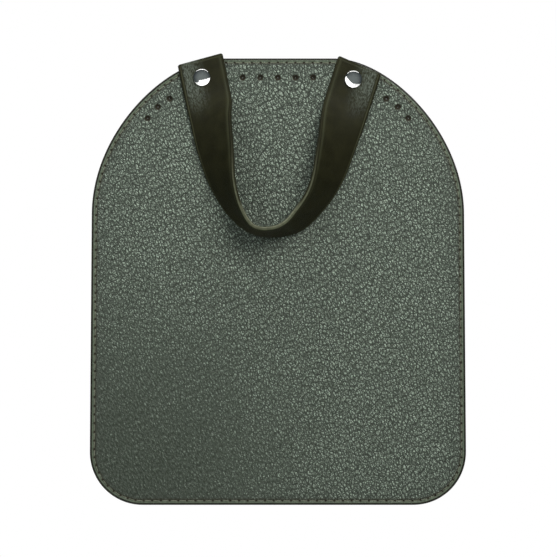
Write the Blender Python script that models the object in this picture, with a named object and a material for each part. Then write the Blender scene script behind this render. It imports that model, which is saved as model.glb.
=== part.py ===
"""Bag flap with a carry handle, modelled as separate pieces.

The flap is an arched laminate of front leather, stiffening board and lining,
held together by a perimeter lockstitch.  A strap handle of two leather layers
is riveted through it near the top edge and hangs down the front.

Frame: metres, +Z up, +X to the right of someone facing the front, and the
front faces -Y.  The origin lies on the back face of the lining, on the centre
line, a little below the middle row of sewing holes.
"""

import math

import bmesh
import bpy
from mathutils import Vector

MM = 0.001

# Driving dimensions, in millimetres.
PANEL_WIDTH = 200.0          # widest, low on the sides
SHOULDER_WIDTH = 198.0       # where the arch meets the sides
PANEL_HEIGHT = 237.4
ARCH_HEIGHT = 83.0           # top edge down to the shoulders
CROWN_WIDTH = 60.0           # nearly straight stretch of the top edge
CROWN_PULL = 29.0            # how far the crown's tangent carries on, outward
SHOULDER_PULL = 44.0         # how far the sides' tangent carries on, upward
CORNER_RADIUS = 28.0
EDGE_CHAMFER = 0.35

FRONT_THICKNESS = 1.2
BOARD_THICKNESS = 1.0
LINING_THICKNESS = 0.8
GAP = 0.3                    # clearance that separate solids keep

STITCH_INSET = 2.3
NEEDLE_THREAD = 0.5          # diameter
BOBBIN_THREAD = 0.4
NEEDLE_CHANNEL_DEPTH = 0.7
BOBBIN_CHANNEL_DEPTH = 0.45

HOLE_ROW_DROP = 10.2         # top edge down to the middle row of sewing holes
HOLE_DIAMETERS = {"front": 3.0, "board": 1.8, "lining": 0.5}   # made with a tapered awl
MIDDLE_HOLES = 5
MIDDLE_PITCH = 9.35
SIDE_HOLES = ((57.6, 21.4), (63.8, 25.8), (69.3, 31.8))   # out from the centre, down from the top
ORIGIN_BELOW_ROW = 7.0

STRAP_WIDTH = 24.6
STRAP_LAYER = 0.9
FLEX_DROP = 17.2             # top edge down to the line on which the strap bends
FLEX_GAP = 1.6               # room the loop needs to turn without touching the ends

RIVET_HEAD = 9.0             # diameter of both caps
RIVET_SHANK = 3.0
CAP_HEIGHT = 2.2
BACK_CAP_HEIGHT = 1.2
RIVETS = {"left": (-40.4, 10.2), "right": (40.1, 11.1)}   # across, down from the top edge

# The strap's outer edge, from its left end to its right end.  Each station
# gives x, the drop below the top edge, and the strap's lean: 0 lies flat on
# the panel and 90 stands on its outer edge.
STRAP_STATIONS = (
    (-53.3, 3.6, 0.0),
    (-50.3, 18.0, 0.0),
    (-48.8, 25.5, 6.0),
    (-46.6, 35.0, 28.0),
    (-42.9, 50.5, 39.5),
    (-36.2, 68.6, 57.0),
    (-26.6, 83.6, 71.5),
    (-14.6, 93.2, 82.0),
    (0.0, 95.2, 79.0),
    (13.5, 91.2, 67.5),
    (25.6, 79.6, 60.0),
    (34.6, 66.0, 48.0),
    (41.4, 49.0, 34.0),
    (45.7, 37.0, 17.0),
    (48.5, 28.4, 3.5),
    (51.2, 20.0, 0.0),
    (54.8, 8.4, 0.0),
)
LEFT_END_SKEW = 3.5          # degrees that each end is cut away from square
RIGHT_END_SKEW = 6.5
STRAP_SECTIONS = 84
STRAP_CELLS = 4              # across the width

# Heights and depths that follow from those.
TOP_Z = HOLE_ROW_DROP + ORIGIN_BELOW_ROW
LINING_FRONT = LINING_THICKNESS
BOARD_BACK = LINING_FRONT + GAP
BOARD_FRONT = BOARD_BACK + BOARD_THICKNESS
PANEL_BACK = BOARD_FRONT + GAP
PANEL_FRONT = PANEL_BACK + FRONT_THICKNESS
STRAP_THICKNESS = 2 * STRAP_LAYER + GAP
STRAP_BACK = PANEL_FRONT + GAP
STRAP_FRONT = STRAP_BACK + STRAP_THICKNESS


# ---------------------------------------------------------------- scene, materials

def clear_scene():
    for obj in list(bpy.data.objects):
        bpy.data.objects.remove(obj, do_unlink=True)


def material(name, colour, roughness, metallic=0.0):
    mat = bpy.data.materials.new(name)
    mat.use_nodes = True
    shader = mat.node_tree.nodes["Principled BSDF"]
    shader.inputs["Base Color"].default_value = (*colour, 1.0)
    shader.inputs["Roughness"].default_value = roughness
    shader.inputs["Metallic"].default_value = metallic
    return mat


def add_object(name, mesh, mat):
    obj = bpy.data.objects.new(name, mesh)
    bpy.context.scene.collection.objects.link(obj)
    if mat is not None:
        mesh.materials.append(mat)
    return obj


def mesh_from_bmesh(name, bm):
    bmesh.ops.recalc_face_normals(bm, faces=bm.faces)
    mesh = bpy.data.meshes.new(name)
    bm.to_mesh(mesh)
    bm.free()
    return mesh


def shade_round(mesh, degrees=40):
    mesh.shade_smooth()
    mesh.set_sharp_from_angle(angle=math.radians(degrees))


# ---------------------------------------------------------------- the flap's outline

def bezier(p0, p1, p2, p3, t):
    s = 1.0 - t
    return (p0 * s ** 3) + (p1 * 3 * s * s * t) + (p2 * 3 * s * t * t) + (p3 * t ** 3)


def right_half_outline(arch_steps=18, corner_steps=9):
    """Points (x, z) in millimetres from the crown's right end down to the bottom edge."""
    crown = Vector((CROWN_WIDTH / 2, 0.0))
    shoulder = Vector((SHOULDER_WIDTH / 2, -ARCH_HEIGHT))
    pull_out = Vector((CROWN_PULL, 0.0))
    pull_up = Vector((0.0, SHOULDER_PULL))
    points = []
    for i in range(arch_steps + 1):
        t = i / arch_steps
        points.append(bezier(crown, crown + pull_out, shoulder + pull_up, shoulder, t))
    corner = Vector((PANEL_WIDTH / 2 - CORNER_RADIUS, CORNER_RADIUS - PANEL_HEIGHT))
    for i in range(corner_steps + 1):
        angle = -math.pi / 2 * i / corner_steps
        points.append(corner + CORNER_RADIUS * Vector((math.cos(angle), math.sin(angle))))
    return points


def flap_outline(inset=0.0):
    """The whole outline, clockwise from the crown's right end, moved inward by inset."""
    right = right_half_outline()
    left = [Vector((-p.x, p.y)) for p in reversed(right)]
    loop = right + left
    count = len(loop)
    moved = []
    for i, point in enumerate(loop):
        along = (loop[(i + 1) % count] - loop[i - 1]).normalized()
        inward = Vector((along.y, -along.x))
        moved.append(point + inward * inset)
    return moved


def at(point, depth):
    """World position of an outline point at a depth in front of the back face."""
    return Vector((point.x, -depth, point.y + TOP_Z)) * MM


# ---------------------------------------------------------------- flat laminate pieces

def plate_from_rings(name, rings, mat):
    """Close a stack of equal rings, each (inset, depth), into one plate."""
    bm = bmesh.new()
    loops = []
    for inset, depth in rings:
        loops.append([bm.verts.new(at(p, depth)) for p in flap_outline(inset)])
    count = len(loops[0])
    for low, high in zip(loops, loops[1:]):
        for i in range(count):
            j = (i + 1) % count
            bm.faces.new((low[i], low[j], high[j], high[i]))
    bm.faces.new(loops[0])
    bm.faces.new(loops[-1])
    return add_object(name, mesh_from_bmesh(name, bm), mat)


def channel_rings(surface, into, thread, depth):
    """Rings of a sewn channel cut from a surface at one depth; into is +1 or -1."""
    half = thread / 2 + GAP
    floor = surface + into * depth
    return [
        (STITCH_INSET - half, surface),
        (STITCH_INSET - half, floor),
        (STITCH_INSET + half, floor),
        (STITCH_INSET + half, surface),
    ]


def build_front_panel(mat):
    edge = [
        (EDGE_CHAMFER, PANEL_BACK),
        (0.0, PANEL_BACK + EDGE_CHAMFER),
        (0.0, PANEL_FRONT - EDGE_CHAMFER),
        (EDGE_CHAMFER, PANEL_FRONT),
    ]
    channel = channel_rings(PANEL_FRONT, -1, NEEDLE_THREAD, NEEDLE_CHANNEL_DEPTH)
    return plate_from_rings("front_panel", edge + channel, mat)


def build_stiffener_board(mat):
    edge = [(EDGE_CHAMFER, BOARD_BACK), (EDGE_CHAMFER, BOARD_FRONT)]
    return plate_from_rings("stiffener_board", edge, mat)


def build_lining_panel(mat):
    edge = [
        (EDGE_CHAMFER, LINING_FRONT),
        (0.0, LINING_FRONT - EDGE_CHAMFER),
        (EDGE_CHAMFER, 0.0),
    ]
    channel = channel_rings(0.0, 1, BOBBIN_THREAD, BOBBIN_CHANNEL_DEPTH)
    return plate_from_rings("lining_panel", edge + channel, mat)


def build_thread_ring(name, depth, diameter, mat, sides=6):
    """A closed ring of thread that follows the stitch line."""
    bm = bmesh.new()
    path = flap_outline(STITCH_INSET)
    count = len(path)
    rings = []
    for i, point in enumerate(path):
        along = (path[(i + 1) % count] - path[i - 1]).normalized()
        outward = Vector((-along.y, along.x))
        ring = []
        for k in range(sides):
            angle = 2 * math.pi * k / sides
            aside = point + outward * (diameter / 2 * math.cos(angle))
            ring.append(bm.verts.new(at(aside, depth + diameter / 2 * math.sin(angle))))
        rings.append(ring)
    for i in range(count):
        here = rings[i]
        ahead = rings[(i + 1) % count]
        for k in range(sides):
            m = (k + 1) % sides
            bm.faces.new((here[k], here[m], ahead[m], ahead[k]))
    mesh = mesh_from_bmesh(name, bm)
    shade_round(mesh, 80)
    return add_object(name, mesh, mat)


# ---------------------------------------------------------------- punched holes

def hole_centres():
    """Sewing hole centres (x, drop) in millimetres: the middle row, then both shoulders."""
    centres = []
    for i in range(MIDDLE_HOLES):
        centres.append(((i - (MIDDLE_HOLES - 1) / 2) * MIDDLE_PITCH, HOLE_ROW_DROP))
    for x, drop in SIDE_HOLES:
        centres.append((-x, drop))
        centres.append((x, drop))
    return centres


def build_punch(name, centres, diameter, segments=12, reach=20.0):
    """A hidden cutter made of one rod along Y for each centre."""
    bm = bmesh.new()
    for x, drop in centres:
        rings = []
        for depth in (-reach, reach):
            ring = []
            for k in range(segments):
                angle = 2 * math.pi * k / segments
                rim = Vector((math.cos(angle), math.sin(angle))) * (diameter / 2)
                ring.append(bm.verts.new(at(Vector((x, -drop)) + rim, depth)))
            rings.append(ring)
        for k in range(segments):
            m = (k + 1) % segments
            bm.faces.new((rings[0][k], rings[0][m], rings[1][m], rings[1][k]))
        bm.faces.new(rings[0])
        bm.faces.new(rings[1])
    punch = add_object(name, mesh_from_bmesh(name, bm), None)
    punch.hide_render = True
    punch.display_type = "WIRE"
    return punch


def punch_through(obj, punch):
    cut = obj.modifiers.new("punch_" + punch.name, "BOOLEAN")
    cut.operation = "DIFFERENCE"
    cut.solver = "EXACT"
    cut.object = punch


# ---------------------------------------------------------------- the strap handle

def spline(values, t):
    """Catmull-Rom through a list of Vectors; t runs from 0 to len(values) - 1."""
    last = len(values) - 1
    i = min(int(t), last - 1)
    f = t - i
    a = values[max(i - 1, 0)]
    b = values[i]
    c = values[i + 1]
    d = values[min(i + 2, last)]
    return 0.5 * (2 * b + (c - a) * f + (2 * a - 5 * b + 4 * c - d) * f * f + (3 * b - a - 3 * c + d) * f ** 3)


def turned_in_plane(direction, degrees):
    angle = math.radians(degrees)
    x = direction.x * math.cos(angle) - direction.y * math.sin(angle)
    y = direction.x * math.sin(angle) + direction.y * math.cos(angle)
    return Vector((x, y))


def strap_rulings():
    """For each section: the outer edge point of the front face and the unit ruling across it."""
    last = len(STRAP_STATIONS) - 1
    edge = [Vector((x, -drop)) for x, drop, lean in STRAP_STATIONS]
    leans = [Vector((lean, 0.0)) for x, drop, lean in STRAP_STATIONS]
    samples = [last * k / STRAP_SECTIONS for k in range(STRAP_SECTIONS + 1)]
    rulings = []
    for t in samples:
        point = spline(edge, t)
        ahead = spline(edge, min(t + 0.02, last))
        behind = spline(edge, max(t - 0.02, 0.0))
        along = (ahead - behind).normalized()
        across = Vector((-along.y, along.x))
        skew = LEFT_END_SKEW * max(1.0 - t, 0.0) - RIGHT_END_SKEW * max(t - last + 1.0, 0.0)
        across = turned_in_plane(across, skew)
        lean = math.radians(max(spline(leans, t).x, 0.0))
        depth = STRAP_BACK + STRAP_THICKNESS * math.cos(lean)
        outer = Vector((point.x, -depth, point.y))
        flat = math.cos(lean)
        ruling = Vector((across.x * flat, -math.sin(lean), across.y * flat))
        rulings.append((outer, ruling))
    return rulings


def strap_surface():
    """Grid of points on the strap's front face, and of the normals that point out of it."""
    rulings = strap_rulings()
    grid = []
    for outer, ruling in rulings:
        row = [outer + ruling * (STRAP_WIDTH * j / STRAP_CELLS) for j in range(STRAP_CELLS + 1)]
        grid.append(row)
    normals = []
    for i, row in enumerate(grid):
        ahead = grid[min(i + 1, len(grid) - 1)]
        behind = grid[max(i - 1, 0)]
        ruling = rulings[i][1]
        line = []
        for j in range(len(row)):
            along = ahead[j] - behind[j]
            line.append(along.cross(ruling).normalized())
        normals.append(line)
    return grid, normals


def strap_layer(top, bottom):
    """One whole strap layer between two depths under the front face, as a bmesh."""
    grid, normals = strap_surface()
    bm = bmesh.new()
    shells = []
    for depth in (top, bottom):
        shell = []
        for row, line in zip(grid, normals):
            corners = [p - n * depth + Vector((0.0, 0.0, TOP_Z)) for p, n in zip(row, line)]
            shell.append([bm.verts.new(c * MM) for c in corners])
        shells.append(shell)
    front, back = shells
    sections = len(grid)
    for i in range(sections - 1):
        for j in range(STRAP_CELLS):
            for shell in shells:
                bm.faces.new((shell[i][j], shell[i][j + 1], shell[i + 1][j]))
                bm.faces.new((shell[i][j + 1], shell[i + 1][j + 1], shell[i + 1][j]))
        for j in (0, STRAP_CELLS):
            bm.faces.new((front[i][j], front[i + 1][j], back[i + 1][j]))
            bm.faces.new((front[i][j], back[i + 1][j], back[i][j]))
    for i in (0, sections - 1):
        for j in range(STRAP_CELLS):
            bm.faces.new((front[i][j], front[i][j + 1], back[i][j + 1], back[i][j]))
    bmesh.ops.recalc_face_normals(bm, faces=bm.faces)
    return bm


def keep_side(bm, height, keep_above):
    """Cut a strap layer at a height and keep one side, with the cut closed."""
    geometry = list(bm.verts) + list(bm.edges) + list(bm.faces)
    plane = Vector((0.0, 0.0, height * MM))
    bmesh.ops.bisect_plane(
        bm, geom=geometry, dist=1e-7, plane_co=plane, plane_no=(0.0, 0.0, 1.0),
        clear_inner=keep_above, clear_outer=not keep_above)
    open_edges = [e for e in bm.edges if e.is_boundary]
    bmesh.ops.holes_fill(bm, edges=open_edges, sides=0)


def keep_hand(bm, hand):
    """Delete the other leg of a strap layer that was cut above its loop."""
    wrong = [v for v in bm.verts if (v.co.x < 0.0) != (hand == "left")]
    bmesh.ops.delete(bm, geom=wrong, context="VERTS")


def build_strap_end(layer, depths, hand, mat):
    bm = strap_layer(*depths)
    keep_side(bm, TOP_Z - FLEX_DROP + FLEX_GAP / 2, True)
    keep_hand(bm, hand)
    name = "strap_{}_{}_end".format(layer, hand)
    return add_object(name, mesh_from_bmesh(name, bm), mat)


def build_strap_loop(layer, depths, mat):
    bm = strap_layer(*depths)
    keep_side(bm, TOP_Z - FLEX_DROP - FLEX_GAP / 2, False)
    name = "strap_{}_loop".format(layer)
    mesh = mesh_from_bmesh(name, bm)
    shade_round(mesh)
    return add_object(name, mesh, mat)


# ---------------------------------------------------------------- rivets

def dome(radius, rim, height, steps=6):
    """Profile points (radius, height) from a cap's rim to its crown."""
    points = []
    for i in range(steps + 1):
        angle = math.pi / 2 * i / steps
        points.append((radius * math.cos(angle), rim + (height - rim) * math.sin(angle)))
    return points


def build_turned(name, profile, centre, depth, facing, mat, segments=24):
    """Turn a profile of (radius, height) about a line along Y; facing +1 is the front."""
    bm = bmesh.new()
    x, drop = centre
    rings = []
    for radius, height in profile:
        level = depth + facing * height
        if radius == 0.0:
            rings.append([bm.verts.new(at(Vector((x, -drop)), level))])
            continue
        ring = []
        for k in range(segments):
            angle = 2 * math.pi * k / segments
            rim = Vector((math.cos(angle), math.sin(angle))) * radius
            ring.append(bm.verts.new(at(Vector((x, -drop)) + rim, level)))
        rings.append(ring)
    for low, high in zip(rings, rings[1:]):
        for k in range(segments):
            m = (k + 1) % segments
            if len(low) == 1:
                bm.faces.new((low[0], high[k], high[m]))
            elif len(high) == 1:
                bm.faces.new((low[k], low[m], high[0]))
            else:
                bm.faces.new((low[k], low[m], high[m], high[k]))
    mesh = mesh_from_bmesh(name, bm)
    shade_round(mesh)
    return add_object(name, mesh, mat)


def build_rivet(hand, mat):
    """A double-cap rivet: the front cap swallows the tip of the post."""
    centre = RIVETS[hand]
    head = RIVET_HEAD / 2
    shank = RIVET_SHANK / 2
    socket = shank + GAP
    socket_depth = CAP_HEIGHT * 0.5
    rim = 0.35
    cap_base = STRAP_FRONT + GAP
    cap = [(0.0, socket_depth), (socket, socket_depth), (socket, 0.0), (head - rim, 0.0)]
    cap += dome(head, rim, CAP_HEIGHT)[:-1] + [(0.0, CAP_HEIGHT)]
    build_turned("rivet_cap_" + hand, cap, centre, cap_base, 1, mat)
    tip = cap_base + socket_depth - GAP
    post = [(0.0, -tip - GAP), (shank, -tip - GAP), (shank, 0.0), (head - rim, 0.0)]
    post += dome(head, rim, BACK_CAP_HEIGHT)[:-1] + [(0.0, BACK_CAP_HEIGHT)]
    build_turned("rivet_post_" + hand, post, centre, -GAP, -1, mat)


# ---------------------------------------------------------------- assembly

def main():
    clear_scene()
    pebbled = material("pebbled_leather", (0.080, 0.112, 0.085), 0.42)
    board = material("fibre_board", (0.30, 0.24, 0.16), 0.9)
    lining = material("suede_lining", (0.070, 0.075, 0.050), 0.95)
    thread = material("olive_thread", (0.075, 0.072, 0.040), 0.7)
    strap = material("smooth_leather", (0.030, 0.030, 0.018), 0.5)
    backing = material("strap_backing", (0.10, 0.105, 0.060), 0.7)
    nickel = material("polished_nickel", (0.80, 0.80, 0.79), 0.08, 1.0)

    rivet_hole = RIVET_SHANK + 2 * GAP
    riveting = build_punch("rivet_punch", list(RIVETS.values()), rivet_hole, segments=16)

    laminate = {
        "front": build_front_panel(pebbled),
        "board": build_stiffener_board(board),
        "lining": build_lining_panel(lining),
    }
    for layer, plate in laminate.items():
        awl = build_punch("awl_through_" + layer, hole_centres(), HOLE_DIAMETERS[layer])
        punch_through(plate, awl)
        punch_through(plate, riveting)

    needle_depth = PANEL_FRONT - NEEDLE_CHANNEL_DEPTH + GAP + NEEDLE_THREAD / 2
    bobbin_depth = BOBBIN_CHANNEL_DEPTH - GAP - BOBBIN_THREAD / 2
    build_thread_ring("needle_thread", needle_depth, NEEDLE_THREAD, thread)
    build_thread_ring("bobbin_thread", bobbin_depth, BOBBIN_THREAD, thread)

    layers = {
        "face": ((0.0, STRAP_LAYER), strap),
        "backing": ((STRAP_LAYER + GAP, STRAP_THICKNESS), backing),
    }
    for layer, (depths, mat) in layers.items():
        build_strap_loop(layer, depths, mat)
        for hand in RIVETS:
            end = build_strap_end(layer, depths, hand, mat)
            punch_through(end, riveting)

    for hand in RIVETS:
        build_rivet(hand, nickel)


main()
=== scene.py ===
"""Looks of the bag flap: pebbled leather, suede lining, lockstitch, strap handle and rivets.

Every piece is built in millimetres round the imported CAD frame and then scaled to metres.
In the frame the flap stands upright, its front faces -Y, and depth counts forward from the
back face of the lining, so depth 3.6 is 3.6 mm in front of the back.
"""

import random
from math import cos, hypot, pi, radians, sin, sqrt

import bmesh
import bpy
import numpy as np
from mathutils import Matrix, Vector, geometry, kdtree


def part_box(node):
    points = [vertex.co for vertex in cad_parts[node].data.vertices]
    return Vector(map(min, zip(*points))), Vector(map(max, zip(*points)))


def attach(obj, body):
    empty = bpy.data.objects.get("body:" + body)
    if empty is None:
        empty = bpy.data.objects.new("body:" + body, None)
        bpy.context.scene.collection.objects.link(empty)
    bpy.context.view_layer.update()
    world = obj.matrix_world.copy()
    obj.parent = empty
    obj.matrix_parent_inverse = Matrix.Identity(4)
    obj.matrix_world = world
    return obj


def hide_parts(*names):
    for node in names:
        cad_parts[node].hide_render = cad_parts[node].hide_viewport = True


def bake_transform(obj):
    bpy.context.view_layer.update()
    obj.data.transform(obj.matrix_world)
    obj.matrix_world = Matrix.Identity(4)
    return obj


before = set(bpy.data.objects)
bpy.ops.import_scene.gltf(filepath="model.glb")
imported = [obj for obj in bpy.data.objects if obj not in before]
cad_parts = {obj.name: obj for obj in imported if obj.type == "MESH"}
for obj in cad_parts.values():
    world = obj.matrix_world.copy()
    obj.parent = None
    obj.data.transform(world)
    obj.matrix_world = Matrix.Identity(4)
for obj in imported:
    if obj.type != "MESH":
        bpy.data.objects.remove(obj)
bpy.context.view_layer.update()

MM = 0.001

# -------- sizes, in millimetres

# What the frame says.
PANEL_LOW, PANEL_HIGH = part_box("front_panel")
PANEL_WIDTH = (PANEL_HIGH.x - PANEL_LOW.x) / MM
PANEL_HEIGHT = (PANEL_HIGH.z - PANEL_LOW.z) / MM
TOP_Z = PANEL_HIGH.z / MM
PANEL_FRONT = -PANEL_LOW.y / MM
PANEL_BACK = -PANEL_HIGH.y / MM
LINING_FRONT = -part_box("lining_panel")[0].y / MM

# The flap's outline, as the CAD model draws it.
SHOULDER_WIDTH = 198.0
ARCH_HEIGHT = 83.0
CROWN_WIDTH = 60.0
CROWN_PULL = 29.0
SHOULDER_PULL = 44.0
CORNER_RADIUS = 28.0

# The edge and its stitching.
EDGE_SAMPLES = 2400          # points of the edge from which distances to it are measured
PAINT_REACH = 1.05           # how far the edge paint laps onto the front
PAINT_FILM = 0.03            # how far it stands above both faces
PAINT_STEP = 1.6
LEATHER_INSET = 0.40         # where the leather starts, under the paint
ROLL_WIDTH = 0.71
ROLL_DEPTH = 0.75
STITCH_INSET = 2.3
STITCH_PITCH = 4.6
STITCH_GAP = 0.055           # share of the pitch that a stitch leaves free at each end
CHANNEL_DEPTH = 0.26
CHANNEL_WIDTH = 0.34
RIDGE_INSET = 1.35
RIDGE_HEIGHT = 0.07
NEEDLE_THREAD = 0.5          # diameters of the two threads
BOBBIN_THREAD = 0.4
STRAND_SHARE = 0.29          # radius of a thread's strand, as a share of the thread's diameter
STITCH_TURNS = 1.6           # twist of the strands over a stitch
STITCH_STEPS = 12
STRAND_SIDES = 5
PATH_STEPS = 10              # points of the seam's path in each stitch

# Holes: the sewing holes taper like the awl that made them.
HOLE_ROW_DROP = 10.2
MIDDLE_HOLES = 5
MIDDLE_PITCH = 9.35
SIDE_HOLES = ((57.6, 21.4), (63.8, 25.8), (69.3, 31.8))
HOLE_RADIUS = 1.5
HOLE_WAIST = 0.72            # radius where the funnel meets the leather's back
HOLE_LIP = 0.06              # how far the leather is pushed up round a hole
PIT_DEPTH = 0.50             # how far a needle hole pulls the leather down
LINING_HOLE = 0.12
RIVETS = {"left": (-40.4, 10.2), "right": (40.1, 11.1)}   # across, down from the top edge
RIVET_HOLE = 1.8

# The strap, with the stations of its outer edge as the CAD model has them:
# x, drop below the top edge, and lean, where 0 lies flat and 90 stands on its outer edge.
STRAP_WIDTH = 24.6
STRAP_THICKNESS = 2.1
STRAP_BACK = PANEL_FRONT + 0.3
STRAP_CORNER = 1.2
STRAP_STATIONS = (
    (-53.3, 3.6, 0.0),
    (-50.3, 18.0, 0.0),
    (-48.8, 25.5, 6.0),
    (-46.6, 35.0, 28.0),
    (-42.9, 50.5, 39.5),
    (-36.2, 68.6, 57.0),
    (-26.6, 83.6, 71.5),
    (-14.6, 93.2, 82.0),
    (0.0, 95.2, 79.0),
    (13.5, 91.2, 67.5),
    (25.6, 79.6, 60.0),
    (34.6, 66.0, 48.0),
    (41.4, 49.0, 34.0),
    (45.7, 37.0, 17.0),
    (48.5, 28.4, 3.5),
    (51.2, 20.0, 0.0),
    (54.8, 8.4, 0.0),
)
LEFT_END_SKEW = 3.5
RIGHT_END_SKEW = 6.5
SEAM = 1.03                  # depth in the strap at which its two layers meet
STRAP_STEP = 1.1             # spacing of the strap's sections
EDGE_STEPS = (0.0, 0.07, 0.2, 0.38, 0.6, 0.85, 1.05, 1.2, 1.35, 1.55, 1.9, 2.5, 3.4, 4.6)
EDGE_ROLL = 0.52             # radius of the strap's outer edges

RIVET_HEAD = 9.2
RIVET_SIDES = 72
CAP_HEIGHT = 2.2
CAP_SLOPE = 30.0             # how far a cap's top leans at its rim, in degrees
BACK_CAP_HEIGHT = 1.2
DIMPLE = 0.3                 # how deep a rivet presses into the strap

GRAIN_STEP = 0.78            # spacing of the leather's surface points
FIELD_INSET = 3.45           # where their even lattice starts, inside the seam
LINING_STEP = 1.9
LINING_EDGE_STEP = 1.15
GRAIN_DEPTH = 0.18
PEBBLE = 1.25                # width of a small pebble
BIG_PEBBLE = 1.75
NET_SIZE = 1.65              # width of the meshes in the net of creases
LAY = radians(25.0)          # how far pebbles and creases lean from the vertical, left at the top
FLANK = (-82.0, -206.0)      # x, z of the hide's smooth, fine-grained patch
FLANK_REACH = 150.0
HANDLE_MIDDLE = (0.0, -35.0)


# -------- nodes and materials

def node(tree, kind, inputs=None, **settings):
    """Add a node. inputs maps socket names or numbers to values or to other nodes' sockets."""
    made = tree.nodes.new(kind)
    for name, value in settings.items():
        setattr(made, name, value)
    set_inputs(made, inputs or {})
    return made


def set_inputs(made, inputs):
    for key, value in inputs.items():
        if isinstance(value, bpy.types.NodeSocket):
            made.id_data.links.new(value, made.inputs[key])
        else:
            made.inputs[key].default_value = value


def derived(kind, inputs, **settings):
    """Add a node to the tree of the sockets among its inputs, as the helpers below do."""
    tree = next(value.id_data for value in inputs.values() if isinstance(value, bpy.types.NodeSocket))
    return node(tree, kind, inputs, **settings)


def maths(operation, a, b, clamp=False):
    return derived("ShaderNodeMath", {0: a, 1: b}, operation=operation, use_clamp=clamp).outputs[0]


def plus(a, b):
    return maths("ADD", a, b)


def times(a, b):
    return maths("MULTIPLY", a, b)


def vectors(operation, a, b):
    return derived("ShaderNodeVectorMath", {0: a, 1: b}, operation=operation).outputs[0]


def scaled(vector, factor):
    inputs = {0: vector, "Scale": factor}
    return derived("ShaderNodeVectorMath", inputs, operation="SCALE").outputs[0]


def distance_to(place, x, z):
    """How far place lies from the point (x, z) of the flap."""
    inputs = {0: place, 1: (x, z, 0.0)}
    return derived("ShaderNodeVectorMath", inputs, operation="DISTANCE").outputs[1]


def smooth(value, low, high, to_low=0.0, to_high=1.0):
    """A smooth step of value from low to high."""
    inputs = {"Value": value, "From Min": low, "From Max": high, "To Min": to_low, "To Max": to_high}
    return derived("ShaderNodeMapRange", inputs, interpolation_type="SMOOTHSTEP").outputs[0]


def mixed(factor, a, b):
    """A blend of two numbers."""
    return derived("ShaderNodeMix", {0: factor, 2: a, 3: b}).outputs[0]


def tint(factor, a, b):
    """A blend of two colours, each a tuple or a socket."""
    inputs = {0: factor, 6: opaque(a), 7: opaque(b)}
    return derived("ShaderNodeMix", inputs, data_type="RGBA").outputs[2]


def opaque(colour):
    return colour if isinstance(colour, bpy.types.NodeSocket) else (*colour, 1.0)


def noise_of(place, size, detail=2.0, roughness=0.5):
    """Noise from 0 to 1 whose features are about size wide, in place's own unit."""
    inputs = {"Vector": place, "Scale": 1.0 / size, "Detail": detail, "Roughness": roughness}
    return derived("ShaderNodeTexNoise", inputs).outputs[0]


def moved(place, size, reach):
    """place, pushed about by noise of the given size by up to reach millimetres."""
    inputs = {"Vector": place, "Scale": 1.0 / size, "Detail": 1.0}
    push = derived("ShaderNodeTexNoise", inputs).outputs[1]
    centred = vectors("SUBTRACT", push, (0.5, 0.5, 0.5))
    return vectors("ADD", place, scaled(centred, 2 * reach))


def cells(place, size, feature):
    """A Voronoi pattern in the plane with cells about size millimetres wide."""
    inputs = {"Vector": place, "Scale": 1.0 / size, "Randomness": 0.95}
    return derived("ShaderNodeTexVoronoi", inputs, voronoi_dimensions="2D", feature=feature)


def in_plane(position):
    """Millimetres across and up the flap, from a position in metres."""
    parts = derived("ShaderNodeSeparateXYZ", {0: position}).outputs
    flat = derived("ShaderNodeCombineXYZ", {0: parts[0], 1: parts[2]}).outputs[0]
    return scaled(flat, 1.0 / MM)


def object_position(tree):
    return node(tree, "ShaderNodeTexCoord").outputs["Object"]


def flank(place):
    """1 in the hide's smooth, fine-grained patch and 0 away from it, with a ragged border."""
    ragged = plus(distance_to(place, *FLANK), times(noise_of(place, 26.0), 36.0))
    return smooth(ragged, FLANK_REACH, 0.10 * FLANK_REACH)


def net(place, size, low, high):
    """0 on the borders of cells about size millimetres wide and 1 inside them."""
    gap = cells(place, size, "DISTANCE_TO_EDGE").outputs["Distance"]
    return smooth(gap, low, high)


def domes(place, size):
    """Round-topped pebbles, 1 on top and 0 in the creases between them, and a random tone for each."""
    found = cells(place, size, "F1")
    far = found.outputs["Distance"]
    fall = times(times(far, far), 0.9)
    round_top = maths("SUBTRACT", 1.0, fall, clamp=True)
    height = times(round_top, net(place, size, -0.01, 0.13))
    tone = derived("ShaderNodeSeparateXYZ", {0: found.outputs["Color"]}).outputs[0]
    return height, tone


def with_the_lay(place, squeeze):
    """place, turned so that its second axis runs with the hide's lay, along which it is squeezed."""
    inputs = {"Vector": place, "Angle": -LAY}
    turned = derived("ShaderNodeVectorRotate", inputs, rotation_type="Z_AXIS").outputs[0]
    return vectors("MULTIPLY", turned, (1.0, squeeze, 1.0))


def fine_creases(place):
    """Fine wrinkles with the lay, from 0 to 1."""
    return smooth(noise_of(with_the_lay(place, 0.50), 0.95, 3.0, 0.6), 0.34, 0.66)


def crease_net(place):
    """A net of thin creases, drawn out along the lay: 0 in them and 1 away from them."""
    bent = moved(with_the_lay(place, 0.52), 2.6, 0.8)
    return net(bent, NET_SIZE, 0.0, 0.17)


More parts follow.
